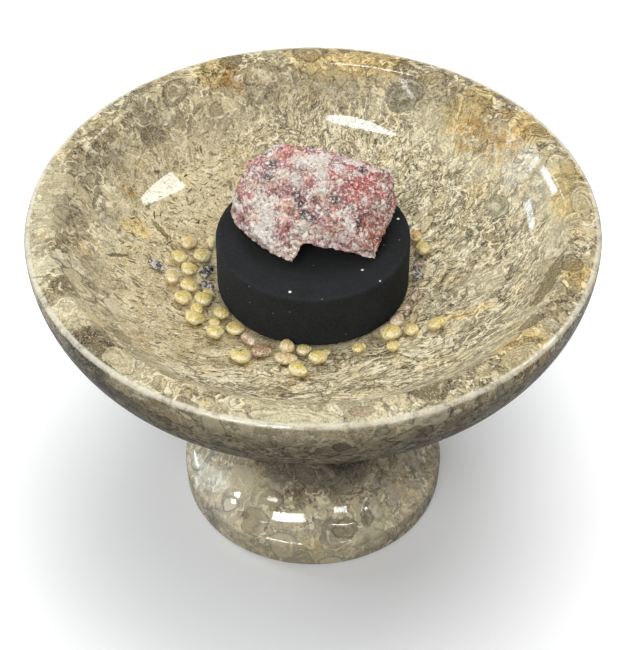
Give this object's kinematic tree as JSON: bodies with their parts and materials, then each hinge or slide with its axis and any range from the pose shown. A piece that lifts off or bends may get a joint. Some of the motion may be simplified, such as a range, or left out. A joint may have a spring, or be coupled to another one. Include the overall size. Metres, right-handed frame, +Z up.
{
  "type": "charcoal incense burner",
  "caption": "Polished fossil-limestone bowl on a turned foot, holding a charcoal tablet with a rough mineral lump on it and loose resin grains around it.",
  "frame": {"origin": "centre of the foot's flat base, on the surface that the burner stands on", "axes": "+Z up along the turning axis of bowl and foot; +X to the right and +Y away from the viewer in the picture"},
  "size_m": [0.117, 0.117, 0.0883],
  "materials": {
    "fossil_limestone": "polished",
    "stone_adhesive": "satin",
    "charcoal": "matte",
    "pink_mineral": "matte",
    "resin": "satin",
    "dark_chip": "satin",
    "pale_chip": "satin"
  },
  "bodies": {
    "burner": {"bowl": "fossil_limestone", "pedestal_foot": "fossil_limestone", "adhesive_film": "stone_adhesive"},
    "charcoal": {"charcoal_tablet": "charcoal"},
    "mineral": {"mineral_lump": "pink_mineral"},
    "resin_grain_01_body": {"resin_grain_01": "resin"},
    "resin_grain_02_body": {"resin_grain_02": "resin"},
    "resin_grain_03_body": {"resin_grain_03": "resin"},
    "resin_grain_04_body": {"resin_grain_04": "resin"},
    "resin_grain_05_body": {"resin_grain_05": "resin"},
    "resin_grain_06_body": {"resin_grain_06": "resin"},
    "resin_grain_07_body": {"resin_grain_07": "resin"},
    "resin_grain_08_body": {"resin_grain_08": "resin"},
    "resin_grain_09_body": {"resin_grain_09": "resin"},
    "resin_grain_10_body": {"resin_grain_10": "resin"},
    "resin_grain_11_body": {"resin_grain_11": "resin"},
    "resin_grain_12_body": {"resin_grain_12": "resin"},
    "resin_grain_13_body": {"resin_grain_13": "resin"},
    "resin_grain_14_body": {"resin_grain_14": "resin"},
    "resin_grain_15_body": {"resin_grain_15": "resin"},
    "resin_grain_16_body": {"resin_grain_16": "resin"},
    "resin_grain_17_body": {"resin_grain_17": "resin"},
    "resin_grain_18_body": {"resin_grain_18": "resin"},
    "resin_grain_19_body": {"resin_grain_19": "resin"},
    "resin_grain_20_body": {"resin_grain_20": "resin"},
    "resin_grain_21_body": {"resin_grain_21": "resin"},
    "resin_grain_22_body": {"resin_grain_22": "resin"},
    "resin_grain_23_body": {"resin_grain_23": "resin"},
    "resin_grain_24_body": {"resin_grain_24": "resin"},
    "resin_grain_25_body": {"resin_grain_25": "resin"},
    "resin_grain_26_body": {"resin_grain_26": "resin"},
    "resin_grain_27_body": {"resin_grain_27": "resin"},
    "resin_grain_28_body": {"resin_grain_28": "resin"},
    "resin_grain_29_body": {"resin_grain_29": "resin"},
    "resin_grain_30_body": {"resin_grain_30": "resin"},
    "resin_grain_31_body": {"resin_grain_31": "resin"},
    "resin_grain_32_body": {"resin_grain_32": "resin"},
    "resin_grain_33_body": {"resin_grain_33": "resin"},
    "resin_chip_01_body": {"resin_chip_01": "dark_chip"},
    "resin_chip_02_body": {"resin_chip_02": "dark_chip"},
    "resin_chip_03_body": {"resin_chip_03": "dark_chip"},
    "resin_chip_04_body": {"resin_chip_04": "pale_chip"},
    "resin_chip_05_body": {"resin_chip_05": "dark_chip"},
    "resin_chip_06_body": {"resin_chip_06": "pale_chip"},
    "resin_chip_07_body": {"resin_chip_07": "pale_chip"}
  },
  "joints": [
    {"name": "charcoal_lift", "type": "slide", "parent": "burner", "child": "charcoal", "axis": [0, 0, 1], "range_m": [0, 0.04]},
    {"name": "mineral_lift", "type": "slide", "parent": "charcoal", "child": "mineral", "axis": [0, 0, 1], "range_m": [0, 0.03]},
    {"name": "resin_grain_01_lift", "type": "slide", "parent": "burner", "child": "resin_grain_01_body", "axis": [0, 0, 1], "range_m": [0, 0.03]},
    {"name": "resin_grain_02_lift", "type": "slide", "parent": "burner", "child": "resin_grain_02_body", "axis": [0, 0, 1], "range_m": [0, 0.03]},
    {"name": "resin_grain_03_lift", "type": "slide", "parent": "burner", "child": "resin_grain_03_body", "axis": [0, 0, 1], "range_m": [0, 0.03]},
    {"name": "resin_grain_04_lift", "type": "slide", "parent": "burner", "child": "resin_grain_04_body", "axis": [0, 0, 1], "range_m": [0, 0.03]},
    {"name": "resin_grain_05_lift", "type": "slide", "parent": "burner", "child": "resin_grain_05_body", "axis": [0, 0, 1], "range_m": [0, 0.03]},
    {"name": "resin_grain_06_lift", "type": "slide", "parent": "burner", "child": "resin_grain_06_body", "axis": [0, 0, 1], "range_m": [0, 0.03]},
    {"name": "resin_grain_07_lift", "type": "slide", "parent": "burner", "child": "resin_grain_07_body", "axis": [0, 0, 1], "range_m": [0, 0.03]},
    {"name": "resin_grain_08_lift", "type": "slide", "parent": "burner", "child": "resin_grain_08_body", "axis": [0, 0, 1], "range_m": [0, 0.03]},
    {"name": "resin_grain_09_lift", "type": "slide", "parent": "burner", "child": "resin_grain_09_body", "axis": [0, 0, 1], "range_m": [0, 0.03]},
    {"name": "resin_grain_10_lift", "type": "slide", "parent": "burner", "child": "resin_grain_10_body", "axis": [0, 0, 1], "range_m": [0, 0.03]},
    {"name": "resin_grain_11_lift", "type": "slide", "parent": "burner", "child": "resin_grain_11_body", "axis": [0, 0, 1], "range_m": [0, 0.03]},
    {"name": "resin_grain_12_lift", "type": "slide", "parent": "burner", "child": "resin_grain_12_body", "axis": [0, 0, 1], "range_m": [0, 0.03]},
    {"name": "resin_grain_13_lift", "type": "slide", "parent": "burner", "child": "resin_grain_13_body", "axis": [0, 0, 1], "range_m": [0, 0.03]},
    {"name": "resin_grain_14_lift", "type": "slide", "parent": "burner", "child": "resin_grain_14_body", "axis": [0, 0, 1], "range_m": [0, 0.03]},
    {"name": "resin_grain_15_lift", "type": "slide", "parent": "burner", "child": "resin_grain_15_body", "axis": [0, 0, 1], "range_m": [0, 0.03]},
    {"name": "resin_grain_16_lift", "type": "slide", "parent": "burner", "child": "resin_grain_16_body", "axis": [0, 0, 1], "range_m": [0, 0.03]},
    {"name": "resin_grain_17_lift", "type": "slide", "parent": "burner", "child": "resin_grain_17_body", "axis": [0, 0, 1], "range_m": [0, 0.03]},
    {"name": "resin_grain_18_lift", "type": "slide", "parent": "burner", "child": "resin_grain_18_body", "axis": [0, 0, 1], "range_m": [0, 0.03]},
    {"name": "resin_grain_19_lift", "type": "slide", "parent": "burner", "child": "resin_grain_19_body", "axis": [0, 0, 1], "range_m": [0, 0.03]},
    {"name": "resin_grain_20_lift", "type": "slide", "parent": "burner", "child": "resin_grain_20_body", "axis": [0, 0, 1], "range_m": [0, 0.03]},
    {"name": "resin_grain_21_lift", "type": "slide", "parent": "burner", "child": "resin_grain_21_body", "axis": [0, 0, 1], "range_m": [0, 0.03]},
    {"name": "resin_grain_22_lift", "type": "slide", "parent": "burner", "child": "resin_grain_22_body", "axis": [0, 0, 1], "range_m": [0, 0.03]},
    {"name": "resin_grain_23_lift", "type": "slide", "parent": "burner", "child": "resin_grain_23_body", "axis": [0, 0, 1], "range_m": [0, 0.03]},
    {"name": "resin_grain_24_lift", "type": "slide", "parent": "burner", "child": "resin_grain_24_body", "axis": [0, 0, 1], "range_m": [0, 0.03]},
    {"name": "resin_grain_25_lift", "type": "slide", "parent": "burner", "child": "resin_grain_25_body", "axis": [0, 0, 1], "range_m": [0, 0.03]},
    {"name": "resin_grain_26_lift", "type": "slide", "parent": "burner", "child": "resin_grain_26_body", "axis": [0, 0, 1], "range_m": [0, 0.03]},
    {"name": "resin_grain_27_lift", "type": "slide", "parent": "burner", "child": "resin_grain_27_body", "axis": [0, 0, 1], "range_m": [0, 0.03]},
    {"name": "resin_grain_28_lift", "type": "slide", "parent": "burner", "child": "resin_grain_28_body", "axis": [0, 0, 1], "range_m": [0, 0.03]},
    {"name": "resin_grain_29_lift", "type": "slide", "parent": "burner", "child": "resin_grain_29_body", "axis": [0, 0, 1], "range_m": [0, 0.03]},
    {"name": "resin_grain_30_lift", "type": "slide", "parent": "burner", "child": "resin_grain_30_body", "axis": [0, 0, 1], "range_m": [0, 0.03]},
    {"name": "resin_grain_31_lift", "type": "slide", "parent": "burner", "child": "resin_grain_31_body", "axis": [0, 0, 1], "range_m": [0, 0.03]},
    {"name": "resin_grain_32_lift", "type": "slide", "parent": "burner", "child": "resin_grain_32_body", "axis": [0, 0, 1], "range_m": [0, 0.03]},
    {"name": "resin_grain_33_lift", "type": "slide", "parent": "burner", "child": "resin_grain_33_body", "axis": [0, 0, 1], "range_m": [0, 0.03]},
    {"name": "resin_chip_01_lift", "type": "slide", "parent": "burner", "child": "resin_chip_01_body", "axis": [0, 0, 1], "range_m": [0, 0.03]},
    {"name": "resin_chip_02_lift", "type": "slide", "parent": "burner", "child": "resin_chip_02_body", "axis": [0, 0, 1], "range_m": [0, 0.03]},
    {"name": "resin_chip_03_lift", "type": "slide", "parent": "burner", "child": "resin_chip_03_body", "axis": [0, 0, 1], "range_m": [0, 0.03]},
    {"name": "resin_chip_04_lift", "type": "slide", "parent": "burner", "child": "resin_chip_04_body", "axis": [0, 0, 1], "range_m": [0, 0.03]},
    {"name": "resin_chip_05_lift", "type": "slide", "parent": "burner", "child": "resin_chip_05_body", "axis": [0, 0, 1], "range_m": [0, 0.03]},
    {"name": "resin_chip_06_lift", "type": "slide", "parent": "burner", "child": "resin_chip_06_body", "axis": [0, 0, 1], "range_m": [0, 0.03]},
    {"name": "resin_chip_07_lift", "type": "slide", "parent": "burner", "child": "resin_chip_07_body", "axis": [0, 0, 1], "range_m": [0, 0.03]}
  ]
}
